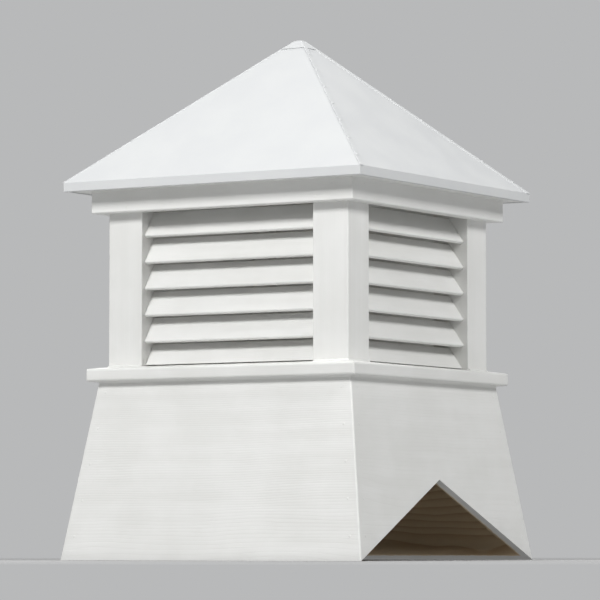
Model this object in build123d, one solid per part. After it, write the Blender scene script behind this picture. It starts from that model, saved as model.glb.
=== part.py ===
from build123d import *
import os
from math import atan, cos, radians, sin

# A square louvred cupola: a flared base with a saddle cut under it, which leaves a notch in its
# right and left sides, a moulded sill, four corner posts with six louvre slats a side, a frieze,
# flat eave boards, and a hipped roof of sheet metal on a boarded deck.
# Millimetres. The origin is the middle of the base at its lowest edge, +Z is up, X runs from notch
# to notch and -Y is the front. Every size is outside to outside unless its name says otherwise.

# Base, of four flared boards mitred at the corners. The saddle cut starts at the lowest edges of
# its front and back boards, and rises to its peak over the middle.
base_width = 660.0
base_height = 338.0
base_lean = 52.0
base_board = 19.0
base_corner_round = 3.0
saddle_rise = 5.5
saddle_run = 12.0

# Glue blocks in the corners of the base
block_width = 38.0
block_lift = 30.0

# Sill on top of the base, measured out from the top of the base
sill_overhang = 18.0
sill_thickness = 28.0
sill_wash = 4.0
sill_nose_round = 5.0
sill_corner_round = 4.0
sill_groove = 4.0

# Louvred body, set in from the top of the base
body_set_in = 13.0
post_width = 76.0
post_corner_round = 3.0
post_edge_round = 2.0
opening_height = 292.0

# Louvre slats, housed in slanting grooves in the posts. The slit is what shows open between two
# slats, seen level. The top slat is tucked up behind the frieze, and the lowest one is ripped
# narrower, to drain over the sill.
slats_a_side = 6
slat_thickness = 8.0
slat_slit = 0.5
slat_round = 3.0
slat_angle = 55.0
slat_recess = 10.0
slat_tuck = 2.75
slat_drain = 3.0
slat_rip = 9.25
housing_depth = 10.0
housing_clearance = 0.25
slat_end_gap = 0.5

# Frieze round the tops of the posts
frieze_height = 42.0
frieze_thickness = 24.0
frieze_round = 3.0
frieze_corner_round = 2.0

# Eave boards, which the frieze and the posts carry, measured out from the frieze
eave_overhang = 38.0
eave_thickness = 16.0
eave_mitre_gap = 0.5

# Hipped roof
roof_rise = 292.0
deck_thickness = 12.0
deck_hip_gap = 0.5
sheet = 1.2
drip_return = 8.0
hip_lap = 12.0
cap_width = 50.0
cap_top_width = 16.0
cap_round = 3.0

# Half widths and levels that follow from the sizes above
base_half = base_width / 2
base_top_half = base_half - base_lean
sill_half = base_top_half + sill_overhang
body_half = base_top_half - body_set_in
opening_half = body_half - post_width
frieze_half = body_half + frieze_thickness
roof_half = frieze_half + eave_overhang
sill_level = base_height
opening_bottom = sill_level + sill_thickness
opening_top = opening_bottom + opening_height
eave_level = opening_top + frieze_height
roof_level = eave_level + eave_thickness
overall_reach = 2 * (base_half + roof_half)
overall_height = roof_level + roof_rise

side_angles = {"front": 0, "right": 90, "back": 180, "left": 270}
corner_angles = {"front_right": 0, "back_right": 90, "back_left": 180, "front_left": 270}


def prism_along_x(outline):
    """A prism of a (y, z) outline that runs out past everything both ways."""
    return extrude(Plane.YZ * Polygon(*outline, align=None), overall_reach, both=True)


def prism_along_y(outline):
    """A prism of an (x, z) outline that runs out past everything both ways."""
    return extrude(Plane.XZ * Polygon(*outline, align=None), overall_reach, both=True)


def square(half):
    return Rectangle(2 * half, 2 * half)


def trapezium(low_half, high_half, low_z, high_z):
    return [(-low_half, low_z), (low_half, low_z), (high_half, high_z), (-high_half, high_z)]


def frustum(low_half, high_half, low_z, high_z):
    """A square frustum with flat faces, from two crossed prisms."""
    outline = trapezium(low_half, high_half, low_z, high_z)
    return prism_along_x(outline) & prism_along_y(outline)


def turned(shape, angle):
    return Rot(0, 0, angle) * shape


def side_sector(gap=0.0):
    """The part of the plan nearest the front, out to both corners, over the full height."""
    reach = overall_reach
    corners = [(0, -gap), (-reach, -reach - gap), (reach, -reach - gap)]
    return extrude(Polygon(*corners, align=None), 2 * overall_height, both=True)


def cut_into_sides(ring, gap=0.0):
    """The four sides of a ring, mitred on the diagonals."""
    sector = side_sector(gap)
    return {side: ring & turned(sector, angle) for side, angle in side_angles.items()}


def gathered(sides):
    """The pieces of all four sides as one node, which touch nothing of each other."""
    return Compound(children=[solid for side in sides.values() for solid in side.solids()])


def saddle():
    """The wedge that the saddle cut takes out: it meets the base's lowest edges and peaks over X."""
    peak = base_half * saddle_rise / saddle_run
    return prism_along_x([(-2 * base_half, -peak), (2 * base_half, -peak), (0, peak)])


def base_outline(inset):
    """The flared outline of the base, moved in by inset, from below the saddle cut to the sill."""
    lean_per_height = base_lean / base_height
    inset_flat = inset / cos(atan(lean_per_height))
    low_z = -base_board
    low_half = base_half - lean_per_height * low_z - inset_flat
    return low_half, base_top_half - inset_flat, low_z, base_height


def base_boards():
    outside = frustum(*base_outline(0))
    corners = [edge for edge in outside.edges() if edge.bounding_box().size.Z > base_height]
    shell = fillet(corners, base_corner_round) - frustum(*base_outline(base_board))
    return cut_into_sides(shell - saddle())


def corner_blocks():
    """Four leaning glue blocks, one in each corner inside the base, lifted clear of the saddle cut."""
    between_blocks = trapezium(*base_outline(base_board + block_width))
    blocks = frustum(*base_outline(base_board))
    blocks = blocks - prism_along_x(between_blocks) - prism_along_y(between_blocks)
    return blocks - Pos(0, 0, block_lift) * saddle()


def sill_board():
    """The front board of the sill: a wash outside the posts, a round nose and a drip groove."""
    top = opening_bottom
    outline = Polygon(
        (-opening_half, sill_level),
        (-sill_half, sill_level),
        (-sill_half, top - sill_wash),
        (-body_half, top),
        (-opening_half, top),
        align=None,
    )
    outline = rounded_at(outline, -sill_half, sill_level, sill_nose_round)
    outline = rounded_at(outline, -sill_half, top - sill_wash, sill_nose_round)
    groove_y = -(sill_half + base_top_half) / 2
    groove = Pos(groove_y, sill_level) * Rectangle(sill_groove, sill_groove)
    board = extrude(Plane.YZ * (outline - groove), sill_half, both=True)
    return board & side_sector() & rounded_column(sill_half, sill_corner_round)


def rounded_column(half, radius):
    """A tall square column with rounded corners, which rounds the corners of what it is crossed with."""
    return extrude(RectangleRounded(2 * half, 2 * half, radius), overall_height)


def rounded_at(sketch, x, y, radius):
    """The sketch with its corner nearest (x, y) rounded."""
    return fillet(sketch.vertices().sort_by_distance((x, y))[0], radius)


def slat_place(number):
    """The middle of a front slat, number 1 at the bottom, on its slope, and its width before ripping."""
    angle = radians(slat_angle)
    filled_height = opening_height + slat_tuck - slat_drain + slat_rip
    pitch = (filled_height + slat_slit) / slats_a_side
    reach_z = (pitch - slat_slit) / 2
    core_thickness = slat_thickness / 2 - slat_round
    core_width = (reach_z - slat_round - core_thickness * cos(angle)) / sin(angle)
    reach_y = core_width * cos(angle) + core_thickness * sin(angle) + slat_round
    centre_y = -(body_half - slat_recess) + reach_y
    centre_z = opening_top + slat_tuck - reach_z - (slats_a_side - number) * pitch
    return Pos(centre_y, centre_z) * Rot(0, 0, slat_angle), 2 * (core_width + slat_round)


def ripped(section, clearance=0.0):
    """The part of a slat's section that is clear of the sill."""
    low_z = opening_bottom + slat_drain - clearance
    return section & Pos(0, low_z + overall_height / 2) * Rectangle(overall_reach, overall_height)


def slat(number):
    """One front slat, its long edges rounded, long enough to stand in the grooves of two posts."""
    place, width = slat_place(number)
    section = ripped(place * RectangleRounded(width, slat_thickness, slat_round))
    return extrude(Plane.YZ * section, opening_half + housing_depth - slat_end_gap, both=True)


def housing(number):
    """The pair of square-ended grooves that hold a front slat, as one bar from post to post."""
    place, width = slat_place(number)
    play = 2 * housing_clearance
    section = ripped(place * Rectangle(width + play, slat_thickness + play), housing_clearance)
    return extrude(Plane.YZ * section, opening_half + housing_depth, both=True)


def corner_post():
    """The front right post, with a slanted groove for each slat of its two sides."""
    middle = body_half - post_width / 2
    plan = Pos(middle, -middle) * square(post_width / 2)
    plan = rounded_at(plan, body_half, -body_half, post_corner_round)
    plan = rounded_at(plan, opening_half, -body_half, post_edge_round)
    plan = rounded_at(plan, body_half, -opening_half, post_edge_round)
    post = Pos(0, 0, opening_bottom) * extrude(plan, eave_level - opening_bottom)
    for number in range(1, slats_a_side + 1):
        post = post - housing(number) - turned(housing(number), side_angles["right"])
    return post


def frieze_board():
    """The front frieze board, against the posts' faces, its lower outer edge rounded."""
    middle_y = -(body_half + frieze_half) / 2
    middle_z = (opening_top + eave_level) / 2
    section = Pos(middle_y, middle_z) * Rectangle(frieze_thickness, frieze_height)
    section = rounded_at(section, -frieze_half, opening_top, frieze_round)
    board = extrude(Plane.YZ * section, frieze_half, both=True)
    return board & side_sector() & rounded_column(frieze_half, frieze_corner_round)


def level_inset(inset):
    """How far in a level line moves when the roof's faces move in by inset."""
    return inset / sin(atan(roof_rise / roof_half))


def eave_boards():
    """The four mitred boards between the frieze and the roof, whose undersides are the soffit."""
    ring = extrude(square(roof_half - level_inset(sheet)) - square(opening_half), eave_thickness)
    return gathered(cut_into_sides(Pos(0, 0, eave_level) * ring, eave_mitre_gap))


def roof_frustum(inset, low_z, high_z):
    """The hipped form of the roof, its faces moved in by inset."""
    run_per_rise = roof_half / roof_rise
    foot_half = roof_half - level_inset(inset)
    low_half = foot_half - (low_z - roof_level) * run_per_rise
    high_half = foot_half - (high_z - roof_level) * run_per_rise
    return frustum(low_half, high_half, low_z, high_z)


def roof_z(half):
    """The level at which the roof's outside is this far from its middle."""
    return roof_level + (roof_half - half) * roof_rise / roof_half


def roof_deck():
    """Four tapered boards that stand on the eave board and carry the sheet metal."""
    top = roof_z(cap_top_width / 2)
    deck = roof_frustum(sheet, roof_level, top)
    deck -= roof_frustum(sheet + deck_thickness, roof_level - sheet, top + sheet)
    return gathered(cut_into_sides(deck, deck_hip_gap))


def hip_laps():
    """The edges of the front pan that are folded over onto the side pans, up to the cap."""
    top = roof_z(cap_width / 2)
    skin = roof_frustum(-sheet, roof_level, top) - roof_frustum(0, roof_level - sheet, top + sheet)
    return skin & (side_sector(-hip_lap) - side_sector(sheet))


def roof_pan():
    """The front pan of the sheet metal roof, bent down over the eave board and in under its edge."""
    tip_half = cap_top_width / 2
    drip_bottom = eave_level - sheet
    outline = Polygon(
        (-tip_half, roof_z(tip_half)),
        (-roof_half, roof_level),
        (-roof_half, drip_bottom),
        (drip_return - roof_half, drip_bottom),
        (drip_return - roof_half, eave_level),
        (sheet - roof_half, eave_level),
        (sheet - roof_half, roof_z(roof_half - sheet + level_inset(sheet))),
        (-tip_half, roof_z(tip_half + level_inset(sheet))),
        align=None,
    )
    outline = rounded_at(outline, -roof_half, roof_level, sheet)
    outline = rounded_at(outline, -roof_half, drip_bottom, sheet)
    return extrude(Plane.YZ * outline, roof_half, both=True) & side_sector()


def roof_pans():
    """The four pans. The front and back ones are folded over the hips onto the other two."""
    pans = {side: turned(roof_pan(), angle) for side, angle in side_angles.items()}
    for side in ("front", "back"):
        pans[side] += turned(hip_laps(), side_angles[side])
    return pans


def roof_cap():
    """The small pressed cap over the four tips of the pans, its hips and top edges rounded."""
    low = roof_z(cap_width / 2)
    top = roof_z(cap_top_width / 2)
    outside = roof_frustum(-sheet, low, top + sheet)
    pressed = [edge for edge in outside.edges() if edge.center().Z > low + sheet]
    return fillet(pressed, cap_round) - roof_frustum(0, low - sheet, top)


def parts():
    """Every piece by name."""
    made = {f"base_{side}": board for side, board in base_boards().items()}
    made["base_corner_blocks"] = corner_blocks()
    for side, angle in side_angles.items():
        made[f"sill_{side}"] = turned(sill_board(), angle)
        made[f"frieze_{side}"] = turned(frieze_board(), angle)
        for number in range(1, slats_a_side + 1):
            made[f"louvre_{side}_{number}"] = turned(slat(number), angle)
    for corner, angle in corner_angles.items():
        made[f"corner_post_{corner}"] = turned(corner_post(), angle)
    made["eave_boards"] = eave_boards()
    made["roof_deck"] = roof_deck()
    for side, pan in roof_pans().items():
        made[f"roof_pan_{side}"] = pan
    made["roof_cap"] = roof_cap()
    return made


os.makedirs("parts", exist_ok=True)
for name, shape in parts().items():
    export_step(shape, f"parts/{name}.step")
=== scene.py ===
from math import atan2, cos, pi, radians, sin, sqrt

import bpy
from mathutils import Matrix, Vector


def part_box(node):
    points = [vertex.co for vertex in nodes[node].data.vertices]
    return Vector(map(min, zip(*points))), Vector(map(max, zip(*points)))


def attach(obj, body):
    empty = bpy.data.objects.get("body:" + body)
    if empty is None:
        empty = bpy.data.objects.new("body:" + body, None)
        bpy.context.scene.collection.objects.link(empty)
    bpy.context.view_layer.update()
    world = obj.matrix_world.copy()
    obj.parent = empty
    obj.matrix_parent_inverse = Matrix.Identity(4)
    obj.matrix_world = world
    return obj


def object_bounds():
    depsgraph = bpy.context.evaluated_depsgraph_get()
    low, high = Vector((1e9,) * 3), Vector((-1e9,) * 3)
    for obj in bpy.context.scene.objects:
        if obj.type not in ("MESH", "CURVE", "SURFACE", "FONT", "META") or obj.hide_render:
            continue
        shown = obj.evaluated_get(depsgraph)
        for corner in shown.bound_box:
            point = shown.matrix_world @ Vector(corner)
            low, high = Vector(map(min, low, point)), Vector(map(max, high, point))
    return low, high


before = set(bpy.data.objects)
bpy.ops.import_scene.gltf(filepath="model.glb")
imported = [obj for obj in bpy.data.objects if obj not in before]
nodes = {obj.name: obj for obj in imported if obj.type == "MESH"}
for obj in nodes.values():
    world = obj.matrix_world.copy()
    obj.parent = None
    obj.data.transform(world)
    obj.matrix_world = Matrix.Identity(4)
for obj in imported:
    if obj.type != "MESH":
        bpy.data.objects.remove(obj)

# the louvred cupola: white painted boards, a white sheet metal roof, bare wood where no brush reaches
cadLow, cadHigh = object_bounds()
scene = bpy.context.scene
sides = ["front", "right", "back", "left"]  # each a quarter turn on from the one before


def quarterTurn(side):
    return sides.index(side) * pi / 2


# places read from the frame, in metres
baseFoot = cadHigh.y  # the lowest edge of the base, out from the middle
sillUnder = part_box("sill_front")[0].z
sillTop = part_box("sill_front")[1].z
baseTopOut = max(v.co.x for v in nodes["base_right"].data.vertices if v.co.z > sillUnder - 1e-4)
baseTopIn = min(v.co.x for v in nodes["base_right"].data.vertices if v.co.z > sillUnder - 1e-4)
baseLean = (baseFoot - baseTopOut) / sillUnder
boardAcross = baseTopOut - baseTopIn  # straight in through a leaning board
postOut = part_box("corner_post_front_right")[1].x
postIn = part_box("corner_post_front_right")[0].x
friezeLow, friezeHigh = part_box("frieze_front")
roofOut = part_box("roof_pan_front")[1].x
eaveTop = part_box("eave_boards")[1].z

# sizes that the boxes don't show
roofRise = 0.292  # from the eave to where the four slopes meet
sheetThickness = 0.0012
hipLap = 0.012  # of the front and back pans over the side ones
blockWidth = 0.038  # of the glue blocks in the corners of the base
baseRound = postRound = 0.003  # of the upright corners


# hand tools

def deselectAll():
    if bpy.context.object and bpy.context.object.mode != "OBJECT":
        bpy.ops.object.mode_set(mode="OBJECT")
    bpy.ops.object.select_all(action="DESELECT")


def pickParts(kind, test):  # selects the edges or faces that pass the test, and goes into edit mode
    bpy.ops.object.mode_set(mode="EDIT")
    bpy.ops.mesh.select_mode(type=kind)
    bpy.ops.mesh.select_all(action="DESELECT")
    bpy.ops.object.mode_set(mode="OBJECT")
    mesh = bpy.context.object.data
    for part in {"EDGE": mesh.edges, "FACE": mesh.polygons}[kind]:
        part.select = bool(test(part))
    bpy.ops.object.mode_set(mode="EDIT")


def edgeMiddle(edge):
    mesh = bpy.context.object.data
    return (mesh.vertices[edge.vertices[0]].co + mesh.vertices[edge.vertices[1]].co) / 2


def settle(piece):  # puts a piece's place into its mesh
    deselectAll()
    piece.select_set(True)
    bpy.context.view_layer.objects.active = piece
    bpy.ops.object.transform_apply(location=True, rotation=True, scale=True)


def copyOf(piece, matrix):
    twin = piece.copy()
    twin.data = piece.data.copy()
    twin.data.transform(matrix)
    scene.collection.objects.link(twin)
    return twin


def joined(pieces, name):
    deselectAll()
    for piece in pieces:
        piece.select_set(True)
    bpy.context.view_layer.objects.active = pieces[0]
    bpy.ops.object.join()
    pieces[0].name = pieces[0].data.name = name
    return pieces[0]


def roundAll(piece, name):  # the same thing on all four sides
    turned = [copyOf(piece, Matrix.Rotation(quarterTurn(side), 4, "Z")) for side in sides[1:]]
    return joined([piece] + turned, name)


def finishPiece(piece, material, smoothUpTo):
    deselectAll()
    piece.select_set(True)
    bpy.context.view_layer.objects.active = piece
    bpy.ops.object.shade_smooth_by_angle(angle=radians(smoothUpTo))
    piece.data.materials.clear()
    piece.data.materials.append(material)
    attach(piece, "root")


# shader tools

def addNode(tree, kind, x, y, values=None, **settings):
    node = tree.nodes.new(kind)
    node.location = (x, y)
    for key, value in settings.items():
        setattr(node, key, value)
    for socket, value in (values or {}).items():
        node.inputs[socket].default_value = value
    return node


def newGroup(name, inputs, outputs):
    tree = bpy.data.node_groups.new(name, "ShaderNodeTree")
    for title, kind, value in inputs:
        socket = tree.interface.new_socket(title, in_out="INPUT", socket_type="NodeSocket" + kind)
        if value is not None:
            socket.default_value = value
    for title, kind in outputs:
        tree.interface.new_socket(title, in_out="OUTPUT", socket_type="NodeSocket" + kind)
    return tree, addNode(tree, "NodeGroupInput", -1200, 0), addNode(tree, "NodeGroupOutput", 900, 0)


def useGroup(tree, group, x, y, values=None):
    return addNode(tree, "ShaderNodeGroup", x, y, values, node_tree=group)


def mathNode(tree, operation, x, y, first, second=None, third=None):
    node = addNode(tree, "ShaderNodeMath", x, y, operation=operation)
    for index, value in enumerate((first, second, third)):
        if isinstance(value, bpy.types.NodeSocket):
            tree.links.new(value, node.inputs[index])
        elif value is not None:
            node.inputs[index].default_value = value
    return node.outputs[0]


def weighted(tree, x, y, *shares):  # the sum of (value, weight) pairs
    total = mathNode(tree, "MULTIPLY", x, y, *shares[0])
    for step, (value, weight) in enumerate(shares[1:], 1):
        total = mathNode(tree, "MULTIPLY_ADD", x + 200 * step, y, value, weight, total)
    return total


def noiseNode(tree, x, y, vector, scale, detail, roughness):
    values = {"Scale": scale, "Detail": detail, "Roughness": roughness}
    node = addNode(tree, "ShaderNodeTexNoise", x, y, values)
    tree.links.new(vector, node.inputs["Vector"])
    return node.outputs[0]


def stretched(tree, x, y, vector, scale, rotation=(0, 0, 0)):
    node = addNode(tree, "ShaderNodeMapping", x, y, {"Scale": scale, "Rotation": rotation})
    tree.links.new(vector, node.inputs["Vector"])
    return node.outputs[0]


def remap(tree, x, y, value, fromLow, fromHigh, toLow=0.0, toHigh=1.0):
    limits = {"From Min": fromLow, "From Max": fromHigh, "To Min": toLow, "To Max": toHigh}
    node = addNode(tree, "ShaderNodeMapRange", x, y, limits, interpolation_type="SMOOTHSTEP")
    tree.links.new(value, node.inputs["Value"])
    return node.outputs[0]


def mixColours(tree, x, y, amount, first, second):
    node = addNode(tree, "ShaderNodeMix", x, y, data_type="RGBA")
    for socket, value in ((node.inputs[0], amount), (node.inputs[6], first), (node.inputs[7], second)):
        if isinstance(value, bpy.types.NodeSocket):
            tree.links.new(value, socket)
        else:
            socket.default_value = value
    return node.outputs[2]


def mixShaders(tree, x, y, amount, first, second):
    node = addNode(tree, "ShaderNodeMixShader", x, y)
    for index, value in enumerate((amount, first, second)):
        tree.links.new(value, node.inputs[index])
    return node.outputs[0]


# brush marks: laid off along X in a vector that the material has turned to the board
brush = {"bristles": (7, 330, 330), "laps": (2.2, 48, 48), "stipple": 620, "patches": 9}


def makeBrushMarks():
    tree, start, end = newGroup(
        "brushMarks",
        [("Vector", "Vector", None)],
        [("Height", "Float"), ("Tint", "Float"), ("Gloss", "Float")],
    )
    vector = start.outputs["Vector"]
    bristles = noiseNode(tree, -700, 300, stretched(tree, -900, 300, vector, brush["bristles"]), 1, 3, 0.6)
    laps = noiseNode(tree, -700, 50, stretched(tree, -900, 50, vector, brush["laps"]), 1, 2, 0.5)
    stipple = noiseNode(tree, -700, -200, vector, brush["stipple"], 2, 0.6)
    patches = noiseNode(tree, -700, -450, vector, brush["patches"], 3, 0.55)
    height = weighted(tree, -400, 250, (bristles, 0.55), (laps, 0.8), (stipple, 0.12))
    tint = weighted(tree, -400, 0, (laps, 0.4), (patches, 0.6))
    gloss = weighted(tree, -400, -250, (patches, 0.5), (bristles, 0.5))
    tree.links.new(height, end.inputs["Height"])
    tree.links.new(tint, end.inputs["Tint"])
    tree.links.new(gloss, end.inputs["Gloss"])
    return tree


# growth rings about an axis along X, off to one side of the board, so that they run out along its face
growth = {
    "axisAway": (0.11, 0.07),
    "wander": 0.022,
    "wanderScale": (1.6, 7, 7),
    "darkening": 2.5,  # the power of its rise through each ring
    "ringEnd": (1.0, 0.9),
    "fibres": (14, 520, 520),
    "pores": (45, 1400, 1400),
    "poreRange": (0.62, 0.75),
}


def makeGrain():
    tree, start, end = newGroup(
        "grain",
        [("Vector", "Vector", None), ("Ring Spacing", "Float", 0.003)],
        [("Rings", "Float"), ("Fibres", "Float"), ("Pores", "Float")],
    )
    vector = start.outputs["Vector"]
    wander = addNode(tree, "ShaderNodeTexNoise", -900, 300, {"Scale": 1.0, "Detail": 3.0, "Roughness": 0.5})
    tree.links.new(stretched(tree, -1050, 300, vector, growth["wanderScale"]), wander.inputs["Vector"])
    shift = addNode(tree, "ShaderNodeVectorMath", -700, 300, operation="MULTIPLY_ADD")
    tree.links.new(wander.outputs["Color"], shift.inputs[0])
    shift.inputs[1].default_value = (0.0, growth["wander"], growth["wander"])
    tree.links.new(vector, shift.inputs[2])
    apart = addNode(tree, "ShaderNodeSeparateXYZ", -500, 300)
    tree.links.new(shift.outputs[0], apart.inputs[0])
    awayY, awayZ = growth["axisAway"]
    squareY = mathNode(tree, "POWER", -300, 350, mathNode(tree, "ADD", -400, 350, apart.outputs[1], awayY), 2)
    squareZ = mathNode(tree, "POWER", -300, 250, mathNode(tree, "ADD", -400, 250, apart.outputs[2], awayZ), 2)
    radius = mathNode(tree, "SQRT", -100, 300, mathNode(tree, "ADD", -200, 300, squareY, squareZ))
    turns = mathNode(tree, "DIVIDE", 50, 300, radius, start.outputs["Ring Spacing"])
    ring = mathNode(tree, "FRACT", 200, 300, turns)
    darkening = mathNode(tree, "POWER", 350, 300, ring, growth["darkening"])
    ringEnd = remap(tree, 350, 100, ring, *growth["ringEnd"])
    latewood = mathNode(tree, "MULTIPLY", 500, 300, darkening, ringEnd)
    fibres = noiseNode(tree, -300, -50, stretched(tree, -500, -50, vector, growth["fibres"]), 1, 3, 0.6)
    pores = noiseNode(tree, -300, -300, stretched(tree, -500, -300, vector, growth["pores"]), 1, 1, 0.5)
    tree.links.new(latewood, end.inputs["Rings"])
    tree.links.new(fibres, end.inputs["Fibres"])
    tree.links.new(remap(tree, 0, -300, pores, *growth["poreRange"]), end.inputs["Pores"])
    return tree


# orange peel and the slow waves of a thin sheet
sheetScale = {"peel": 560, "waves": 6.5, "tint": 14}


def makeSheetWaves():
    tree, start, end = newGroup(
        "sheetWaves",
        [("Vector", "Vector", None)],
        [("Peel", "Float"), ("Waves", "Float"), ("Tint", "Float")],
    )
    vector = start.outputs["Vector"]
    tree.links.new(noiseNode(tree, -400, 200, vector, sheetScale["peel"], 2, 0.5), end.inputs["Peel"])
    tree.links.new(noiseNode(tree, -400, -50, vector, sheetScale["waves"], 1, 0.4), end.inputs["Waves"])
    tree.links.new(noiseNode(tree, -400, -300, vector, sheetScale["tint"], 4, 0.6), end.inputs["Tint"])
    return tree


brushMarks = makeBrushMarks()
grain = makeGrain()
sheetWaves = makeSheetWaves()


def newMaterial(name):
    material = bpy.data.materials.new(name)
    material.use_nodes = True
    tree = material.node_tree
    shader = tree.nodes["Principled BSDF"]
    shader.location = (900, 0)
    tree.nodes["Material Output"].location = (1200, 0)
    coordinates = addNode(tree, "ShaderNodeTexCoord", -1800, 0)
    return material, tree, shader, coordinates.outputs["Object"]


def bumped(tree, shader, x, y, height, distance, strength, before=None):
    bump = addNode(tree, "ShaderNodeBump", x, y, {"Strength": strength, "Distance": distance})
    tree.links.new(height, bump.inputs["Height"])
    if before is not None:
        tree.links.new(before, bump.inputs["Normal"])
    tree.links.new(bump.outputs[0], shader.inputs["Normal"])
    return bump.outputs[0]


boardTurns = {"alongX": (0, 0, 0), "alongY": (0, 0, pi / 2), "upright": (0, pi / 2, 0)}


# turns the pattern to the board; "round" follows a mitred ring of boards
def boardVector(tree, vector, direction):
    if direction != "round":
        return stretched(tree, -1000, 0, vector, (1, 1, 1), boardTurns[direction])
    apart = addNode(tree, "ShaderNodeSeparateXYZ", -1600, -300)
    tree.links.new(vector, apart.inputs[0])
    sideways = mathNode(
        tree, "GREATER_THAN", -1200, -300,
        mathNode(tree, "ABSOLUTE", -1400, -250, apart.outputs[0]),
        mathNode(tree, "ABSOLUTE", -1400, -350, apart.outputs[1]),
    )
    either = addNode(tree, "ShaderNodeMix", -1000, 0, data_type="VECTOR")
    tree.links.new(sideways, either.inputs[0])
    tree.links.new(vector, either.inputs[4])
    turned = stretched(tree, -1400, 200, vector, (1, 1, 1), boardTurns["alongY"])
    tree.links.new(turned, either.inputs[5])
    return either.outputs[1]


pine = {
    "early": (0.72, 0.55, 0.35, 1),
    "late": (0.55, 0.37, 0.20, 1),
    "pale": (0.80, 0.66, 0.47, 1),
    "roughness": (0.62, 0.8),
    "pores": 0.35,
    "ringSpacing": 0.0026,
    "depth": 0.0003,
}


def pineColour(tree, wood, x, y):
    body = mixColours(tree, x, y, wood.outputs["Fibres"], pine["early"], pine["pale"])
    ringed = mixColours(tree, x + 200, y, wood.outputs["Rings"], body, pine["late"])
    pores = mathNode(tree, "MULTIPLY", x, y - 150, wood.outputs["Pores"], pine["pores"])
    return mixColours(tree, x + 400, y, pores, ringed, pine["late"])


def pineRoughness(tree, wood, x, y):
    return remap(tree, x, y, wood.outputs["Fibres"], 0.3, 0.7, *pine["roughness"])


def makePine(name, direction):
    material, tree, shader, vector = newMaterial(name)
    turned = boardVector(tree, vector, direction)
    wood = useGroup(tree, grain, -700, 0, {"Ring Spacing": pine["ringSpacing"]})
    tree.links.new(turned, wood.inputs["Vector"])
    tree.links.new(pineColour(tree, wood, -300, 300), shader.inputs["Base Color"])
    tree.links.new(pineRoughness(tree, wood, -300, 0), shader.inputs["Roughness"])
    height = mathNode(tree, "MULTIPLY_ADD", -300, -300, wood.outputs["Fibres"], 0.6, wood.outputs["Rings"])
    bumped(tree, shader, 300, -300, height, pine["depth"], 0.7)
    return material


# the inner faces of the base were never painted; the brush only wraps their edges
brushEdge = {"scale": (60, 60, 60), "ragged": 0.006, "starts": -0.001, "ends": 0.0005}


def rawFace(tree, vector, wood):
    apart = addNode(tree, "ShaderNodeSeparateXYZ", -900, -600)
    tree.links.new(vector, apart.inputs[0])
    widest = mathNode(
        tree, "MAXIMUM", -500, -600,
        mathNode(tree, "ABSOLUTE", -700, -550, apart.outputs[0]),
        mathNode(tree, "ABSOLUTE", -700, -650, apart.outputs[1]),
    )
    leaning = mathNode(tree, "MULTIPLY_ADD", -300, -600, apart.outputs[2], baseLean, widest)
    inFromFace = mathNode(tree, "SUBTRACT", -100, -600, baseFoot, leaning)
    ragged = noiseNode(tree, -500, -850, stretched(tree, -700, -850, vector, brushEdge["scale"]), 1, 3, 0.6)
    depth = mathNode(tree, "MULTIPLY_ADD", 100, -600, ragged, brushEdge["ragged"], inFromFace)
    starts, ends = boardAcross + brushEdge["starts"], boardAcross + brushEdge["ends"]
    mask = remap(tree, 250, -600, depth, starts, ends)
    return pineColour(tree, wood, -300, -1000), pineRoughness(tree, wood, -100, -1200), mask


paint = {
    "light": (0.83, 0.83, 0.81, 1),
    "deep": (0.785, 0.785, 0.76, 1),
    "roughness": (0.36, 0.52),
    "brushDepth": 0.0003,
    "grainDepth": 0.00018,
    "ringSpacing": 0.0032,
}


def makePaint(name, direction, rawInside=False):
    material, tree, shader, vector = newMaterial(name)
    turned = boardVector(tree, vector, direction)
    marks = useGroup(tree, brushMarks, -700, 200)
    wood = useGroup(tree, grain, -700, -200, {"Ring Spacing": paint["ringSpacing"]})
    tree.links.new(turned, marks.inputs["Vector"])
    tree.links.new(turned, wood.inputs["Vector"])
    tint = remap(tree, -400, 300, marks.outputs["Tint"], 0.35, 0.65)
    colour = mixColours(tree, -100, 300, tint, paint["deep"], paint["light"])
    roughness = remap(tree, -400, 50, marks.outputs["Gloss"], 0.3, 0.7, *paint["roughness"])
    grainHeight = mathNode(tree, "MULTIPLY", -400, -200, wood.outputs["Rings"], -1.0)
    if rawInside:
        raw, rawRoughness, mask = rawFace(tree, vector, wood)
        colour = mixColours(tree, 300, 300, mask, colour, raw)
        mixed = addNode(tree, "ShaderNodeMix", 300, 50, data_type="FLOAT")
        for index, value in ((0, mask), (2, roughness), (3, rawRoughness)):
            tree.links.new(value, mixed.inputs[index])
        roughness = mixed.outputs[0]
    tree.links.new(colour, shader.inputs["Base Color"])
    tree.links.new(roughness, shader.inputs["Roughness"])
    first = bumped(tree, shader, 300, -300, grainHeight, paint["grainDepth"], 0.7)
    bumped(tree, shader, 600, -300, marks.outputs["Height"], paint["brushDepth"], 0.9, first)
    return material


metal = {
    "light": (0.675, 0.685, 0.685, 1),
    "deep": (0.655, 0.665, 0.67, 1),
    "roughness": (0.52, 0.64),
    "peelDepth": 0.000012,
    "waveDepth": 0.0018,
}


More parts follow.
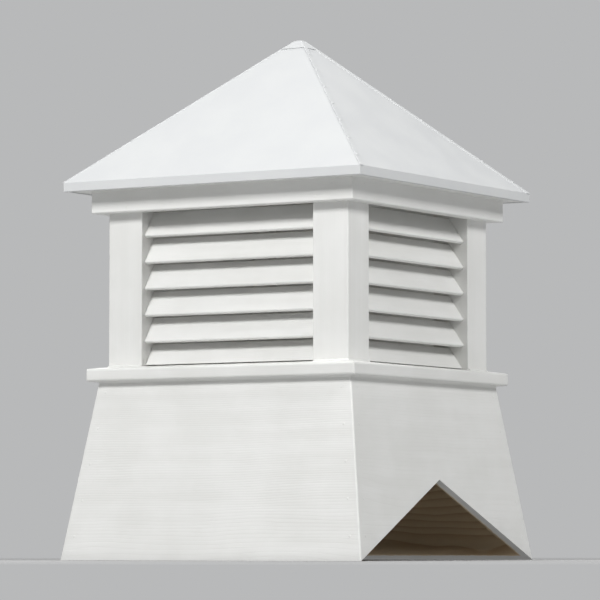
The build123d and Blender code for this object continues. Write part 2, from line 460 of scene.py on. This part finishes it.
def makeRoofMetal():
    material, tree, shader, vector = newMaterial("powderCoatedSheet")
    marks = useGroup(tree, sheetWaves, -700, 0)
    tree.links.new(vector, marks.inputs["Vector"])
    tint = remap(tree, -400, 300, marks.outputs["Tint"], 0.3, 0.7)
    colour = mixColours(tree, -100, 300, tint, metal["deep"], metal["light"])
    roughness = remap(tree, -400, 50, marks.outputs["Tint"], 0.3, 0.7, *metal["roughness"])
    tree.links.new(colour, shader.inputs["Base Color"])
    tree.links.new(roughness, shader.inputs["Roughness"])
    first = bumped(tree, shader, 300, -300, marks.outputs["Waves"], metal["waveDepth"], 1.0)
    bumped(tree, shader, 600, -300, marks.outputs["Peel"], metal["peelDepth"], 0.8, first)
    return material


zinc = {
    "dull": (0.42, 0.43, 0.44, 1),
    "bright": (0.66, 0.67, 0.68, 1),
    "roughness": (0.28, 0.5),
    "speckScale": 900,
    "depth": 0.00005,
}


def makeZincPlate():
    material, tree, shader, vector = newMaterial("zincPlate")
    speck = noiseNode(tree, -400, 0, vector, zinc["speckScale"], 3, 0.6)
    colour = mixColours(tree, -100, 200, speck, zinc["dull"], zinc["bright"])
    roughness = remap(tree, -100, 0, speck, 0.3, 0.7, *zinc["roughness"])
    tree.links.new(colour, shader.inputs["Base Color"])
    tree.links.new(roughness, shader.inputs["Roughness"])
    shader.inputs["Metallic"].default_value = 1.0
    bumped(tree, shader, 300, -300, speck, zinc["depth"], 0.5)
    return material


paintAlongX = makePaint("paintedBoardAlongX", "alongX")
paintAlongY = makePaint("paintedBoardAlongY", "alongY")
paintUpright = makePaint("paintedPost", "upright")
paintRound = makePaint("paintedRing", "round")
baseAlongX = makePaint("paintedBaseAlongX", "alongX", rawInside=True)
baseAlongY = makePaint("paintedBaseAlongY", "alongY", rawInside=True)
bareUpright = makePine("barePineUpright", "upright")
bareRound = makePine("barePineRing", "round")
roofMetal = makeRoofMetal()
zincPlate = makeZincPlate()
print("materials made")

for name, node in nodes.items():
    alongX = "front" in name or "back" in name
    if name.startswith("roof_pan") or name == "roof_cap":
        material = roofMetal
    elif name == "base_corner_blocks":
        material = bareUpright
    elif name == "roof_deck":
        material = bareRound
    elif name == "eave_boards":
        material = paintRound
    elif name.startswith("corner_post"):
        material = paintUpright
    elif name.startswith("base_"):
        material = baseAlongX if alongX else baseAlongY
    else:
        material = paintAlongX if alongX else paintAlongY
    node.data.materials.clear()
    node.data.materials.append(material)
print("frame painted")


# small round heads and fillings: one is shaped by hand, then copied to each place
headCorners = 14
dome = ((0.15, 0.55), (0.3, 0.33), (0.3, 0.12))  # each ring: shares of the radius inward and the height up


def makeHead(radius, height, sunk, recess=None):
    deselectAll()
    bpy.ops.mesh.primitive_cylinder_add(
        vertices=headCorners, radius=radius, depth=sunk, location=(0, 0, -sunk / 2)
    )
    head = bpy.context.object
    settle(head)
    pickParts("FACE", lambda face: face.normal.z > 0.9)
    for inward, upward in dome:
        bpy.ops.mesh.inset(thickness=radius * inward, depth=height * upward)
    if recess:
        bpy.ops.mesh.inset(thickness=radius * recess["inset"], depth=0)
        bpy.ops.mesh.inset(thickness=radius * recess["slope"], depth=-recess["depth"])
    bpy.ops.object.mode_set(mode="OBJECT")
    return head


def spread(head, name, places):  # a copy of the head at each (place, normal), joined as one piece
    copies = []
    for place, normal in places:
        turn = Vector(normal).to_track_quat("Z", "Y").to_matrix().to_4x4()
        copies.append(copyOf(head, Matrix.Translation(place) @ turn))
    bpy.data.objects.remove(head)
    return joined(copies, name)


def onAllSides(places):  # places given on the front, turned to each side
    turned = []
    for side in sides:
        turn = Matrix.Rotation(quarterTurn(side), 3, "Z")
        turned += [(turn @ Vector(place), turn @ Vector(normal)) for place, normal in places]
    return turned


fillings = {
    "radius": 0.0026,
    "height": 0.0004,
    "sunk": 0.001,
    "inFromMitre": 0.021,
    "baseLevels": [0.045, 0.113, 0.181, 0.249, 0.317],
    "friezeStep": (0.018, 0.012),  # sideways and up, from the middle of the board over a post
}


def makeNailFillings():
    fromMitre = fillings["inFromMitre"]
    outward = Vector((0, -1, baseLean)).normalized()
    places = []
    for level in fillings["baseLevels"]:
        half = baseFoot - baseLean * level
        places += [(Vector((x, -half, level)), outward) for x in (fromMitre - half, half - fromMitre)]
    postMiddle = (postOut + postIn) / 2
    friezeMiddle = (friezeLow.z + friezeHigh.z) / 2
    aside, upward = fillings["friezeStep"]
    for sideways in (-1, 1):
        for step in (-1, 1):
            x = sideways * (postMiddle + step * aside)
            places.append((Vector((x, friezeLow.y, friezeMiddle + step * upward)), Vector((0, -1, 0))))
    head = makeHead(fillings["radius"], fillings["height"], fillings["sunk"])
    finishPiece(spread(head, "nail_fillings", onAllSides(places)), paintUpright, 60)


rivets = {
    "radius": 0.0023,
    "height": 0.0009,
    "sunk": 0.0012,
    "count": 7,  # along each hip
    "outermost": 0.305,  # from the middle, in plan
    "innermost": 0.045,
}


def makeLapRivets():
    slope = atan2(roofRise, roofOut)
    places = []
    for number in range(rivets["count"]):
        share = number / (rivets["count"] - 1)
        out = rivets["outermost"] + (rivets["innermost"] - rivets["outermost"]) * share
        level = eaveTop + (roofOut - out) * roofRise / roofOut + sheetThickness / cos(slope)
        for x in (-1, 1):
            for y in (-1, 1):
                place = Vector((x * out, y * (out - hipLap / 2), level))
                places.append((place, Vector((x * sin(slope), 0, cos(slope)))))
    head = makeHead(rivets["radius"], rivets["height"], rivets["sunk"])
    finishPiece(spread(head, "hip_rivets", places), roofMetal, 60)


blockScrews = {
    "radius": 0.0042,
    "height": 0.0016,
    "sunk": 0.002,
    "levels": [0.105, 0.19, 0.275],
    "recess": {"inset": 0.05, "slope": 0.03, "depth": 0.001},
}


def makeBlockScrews():
    upright = sqrt(1 + baseLean ** 2)
    inner = boardAcross + blockWidth * upright  # in from the base's face to the block's
    inward = Vector((0, 1, -baseLean)).normalized()
    places = []
    for level in blockScrews["levels"]:
        half = baseFoot - baseLean * level
        alongside = half - boardAcross - blockWidth * upright / 2
        places += [(Vector((x * alongside, -(half - inner), level)), inward) for x in (-1, 1)]
    head = makeHead(blockScrews["radius"], blockScrews["height"], blockScrews["sunk"], blockScrews["recess"])
    finishPiece(spread(head, "block_screws", onAllSides(places)), zincPlate, 50)


# sealant: a bar along the joint, hollowed with a fingertip and carried on round the rounded corner
sealant = {
    "underSill": 0.0036,
    "postFoot": 0.0032,
    "sunk": 0.0008,
    "hollow": 0.85,  # of the width that shows
    "hollowSteps": 4,
    "hollowCurve": 0.2,  # a bevel profile under a quarter, which curves inward
    "cornerSteps": 6,
    "footEndsShort": 0.002,
    "sortedFrom": (-0.4, -0.7, 0.1),  # off every line of symmetry
}


def makeBead(startX, endX, low, high, hollowAt, openStart=False):  # leaves its end face picked, in edit mode
    deselectAll()
    middle = ((startX + endX) / 2, (low[0] + high[0]) / 2, (low[1] + high[1]) / 2)
    size = (endX - startX, high[0] - low[0], high[1] - low[1])
    bpy.ops.mesh.primitive_cube_add(size=1, location=middle, scale=size)
    bead = bpy.context.object
    settle(bead)
    hollow = sealant["hollow"] * (size[1] - sealant["sunk"])
    pickParts("EDGE", lambda edge: (edgeMiddle(edge) - Vector((edgeMiddle(edge).x, *hollowAt))).length < 1e-4)
    steps, curve = sealant["hollowSteps"], sealant["hollowCurve"]
    bpy.ops.mesh.bevel(offset=hollow, segments=steps, profile=curve, affect="EDGES")
    if openStart:
        pickParts("FACE", lambda face: face.normal.x < -0.9)
        bpy.ops.mesh.delete(type="FACE")
    pickParts("FACE", lambda face: face.normal.x > 0.9)
    centre = (endX, -endX, 0)
    bpy.ops.mesh.spin(steps=sealant["cornerSteps"], angle=-pi / 2, center=centre, axis=(0, 0, 1))
    return bead


def closeUp(piece):  # and sorts the faces, which spin leaves in another order on each run
    deselectAll()
    bpy.context.view_layer.objects.active = piece
    pickParts("FACE", lambda face: True)
    bpy.ops.mesh.remove_doubles(threshold=1e-5)
    bpy.ops.mesh.normals_make_consistent(inside=False)
    scene.cursor.location = sealant["sortedFrom"]
    bpy.ops.mesh.sort_elements(type="CURSOR_DISTANCE", elements={"FACE"})
    bpy.ops.object.mode_set(mode="OBJECT")
    return piece


def makeSillSealant():
    size = sealant["underSill"]
    half = baseTopOut - baseRound
    low = (-baseTopOut - size, sillUnder - size)
    high = (-baseTopOut + sealant["sunk"], sillUnder)
    side = makeBead(-half, half, low, high, low, openStart=True)
    bpy.ops.mesh.delete(type="FACE")
    bpy.ops.object.mode_set(mode="OBJECT")
    finishPiece(closeUp(roundAll(side, "sealant_under_sill")), paintRound, 50)


def makeFootSealant():
    size = sealant["postFoot"]
    near, far = postIn + sealant["footEndsShort"], postOut - postRound
    low = (-postOut - size, sillTop - sealant["sunk"])
    high = (-postOut + sealant["sunk"], sillTop + size)
    foot = makeBead(near, far, low, high, (low[0], high[1]))
    bpy.ops.mesh.extrude_region_move(TRANSFORM_OT_translate={"value": (0, far - near, 0)})
    bpy.ops.object.mode_set(mode="OBJECT")
    finishPiece(closeUp(roundAll(foot, "sealant_post_feet")), paintRound, 50)


makeNailFillings()
makeLapRivets()
makeBlockScrews()
makeSillSealant()
makeFootSealant()
print("small pieces made")

# floor, air and lights
studio = {
    "floorReach": 60,
    "floorGap": 0.0003,
    "floorColour": 0.47,
    "floorRoughness": 0.8,
    "blotchScale": 3,
    "fade": (0.45, 1.7),  # from the lit floor to the backdrop's tone, out from the middle
    "air": 0.22,
    "backdrop": 0.49,
    "glow": 0.24,  # of the floor on what it nearly touches, so that cut edges show from below
    "glowReach": 0.025,
}


def makeFloor():  # lit round the cupola, further off as even as the air, and seen through from below
    deselectAll()
    bpy.ops.mesh.primitive_circle_add(
        vertices=96, radius=studio["floorReach"], fill_type="NGON", location=(0, 0, -studio["floorGap"])
    )
    floor = bpy.context.object
    floor.name = "studioFloor"
    settle(floor)
    material, tree, shader, vector = newMaterial("paleFloor")
    away = addNode(tree, "ShaderNodeVectorMath", -900, -200, operation="LENGTH")
    tree.links.new(vector, away.inputs[0])
    fade = remap(tree, -700, -200, away.outputs["Value"], *studio["fade"])
    tone, far = studio["floorColour"], studio["backdrop"]
    blotches = noiseNode(tree, -700, 200, vector, studio["blotchScale"], 4, 0.6)
    lit = mixColours(tree, -400, 200, blotches, (tone * 0.98,) * 3 + (1,), (tone,) * 3 + (1,))
    unlit, black = (far * 0.98, far * 0.99, far, 1), (0, 0, 0, 1)
    tree.links.new(mixColours(tree, -100, 200, fade, lit, black), shader.inputs["Base Color"])
    tree.links.new(mixColours(tree, -100, -200, fade, black, unlit), shader.inputs["Emission Color"])
    shader.inputs["Emission Strength"].default_value = 1
    shader.inputs["Roughness"].default_value = studio["floorRoughness"]
    shader.inputs["Specular IOR Level"].default_value = 0
    clear = addNode(tree, "ShaderNodeBsdfTransparent", 900, -500)
    below = addNode(tree, "ShaderNodeNewGeometry", 900, 400).outputs["Backfacing"]
    seen = mixShaders(tree, 1200, 0, below, shader.outputs[0], clear.outputs[0])
    rays = addNode(tree, "ShaderNodeLightPath", 900, 900)
    nearby = mathNode(tree, "LESS_THAN", 1200, 900, rays.outputs["Ray Length"], studio["glowReach"])
    nearby = mathNode(tree, "MULTIPLY", 1400, 900, nearby, rays.outputs["Is Diffuse Ray"])
    glow = addNode(tree, "ShaderNodeEmission", 1200, 600, {"Strength": studio["glow"]})
    output = tree.nodes["Material Output"]
    output.location = (1800, 0)
    tree.links.new(mixShaders(tree, 1600, 0, nearby, seen, glow.outputs[0]), output.inputs["Surface"])
    floor.data.materials.append(material)


def makeAir():
    world = bpy.data.worlds.new("studioAir")
    scene.world = world
    world.use_nodes = True
    tree = world.node_tree
    lighting = tree.nodes["Background"]
    lighting.inputs["Color"].default_value = (0.97, 0.985, 1, 1)
    lighting.inputs["Strength"].default_value = studio["air"]
    seen = addNode(tree, "ShaderNodeBackground", 0, -200)
    seen.inputs["Color"].default_value = (0.98, 0.99, 1, 1)
    seen.inputs["Strength"].default_value = studio["backdrop"]
    rays = addNode(tree, "ShaderNodeLightPath", 0, 300)
    air = mixShaders(tree, 300, 0, rays.outputs["Is Camera Ray"], lighting.outputs[0], seen.outputs[0])
    tree.links.new(air, tree.nodes["World Output"].inputs["Surface"])


lamps = {
    "key": {"azimuth": -6, "elevation": 35, "distance": 4.2, "size": 1.1, "power": 121},
    "fill": {"azimuth": 84, "elevation": 38, "distance": 4.6, "size": 1.4, "power": 111},
    "rim": {"azimuth": 215, "elevation": 40, "distance": 4.6, "size": 2.4, "power": 80},
}
middle = Vector((0, 0, 0.5))  # what the lamps and the camera face


def placeAround(azimuth, elevation, distance):
    a, e = radians(azimuth), radians(elevation)
    return Vector((sin(a) * cos(e), -cos(a) * cos(e), sin(e))) * distance + middle


def makeLamps():
    for name, lamp in lamps.items():
        place = placeAround(lamp["azimuth"], lamp["elevation"], lamp["distance"])
        bpy.ops.object.light_add(type="AREA", location=place)
        light = bpy.context.object
        light.name = name
        light.data.size = lamp["size"]
        light.data.energy = lamp["power"]
        light.rotation_euler = (middle - place).to_track_quat("-Z", "Y").to_euler()


eye = {"azimuth": 31.4, "elevation": -3.78, "distance": 7.1, "lens": 221, "sensor": 36}


def makeCamera():
    place = placeAround(eye["azimuth"], eye["elevation"], eye["distance"])
    bpy.ops.object.camera_add(location=place)
    camera = bpy.context.object
    camera.name = "streetView"
    camera.data.lens = eye["lens"]
    camera.data.sensor_width = eye["sensor"]
    camera.data.clip_end = 200
    camera.rotation_euler = (middle - place).to_track_quat("-Z", "Y").to_euler()
    scene.camera = camera


scene.view_settings.view_transform = "Standard"
makeFloor()
makeAir()
makeLamps()
makeCamera()
print("studio set")
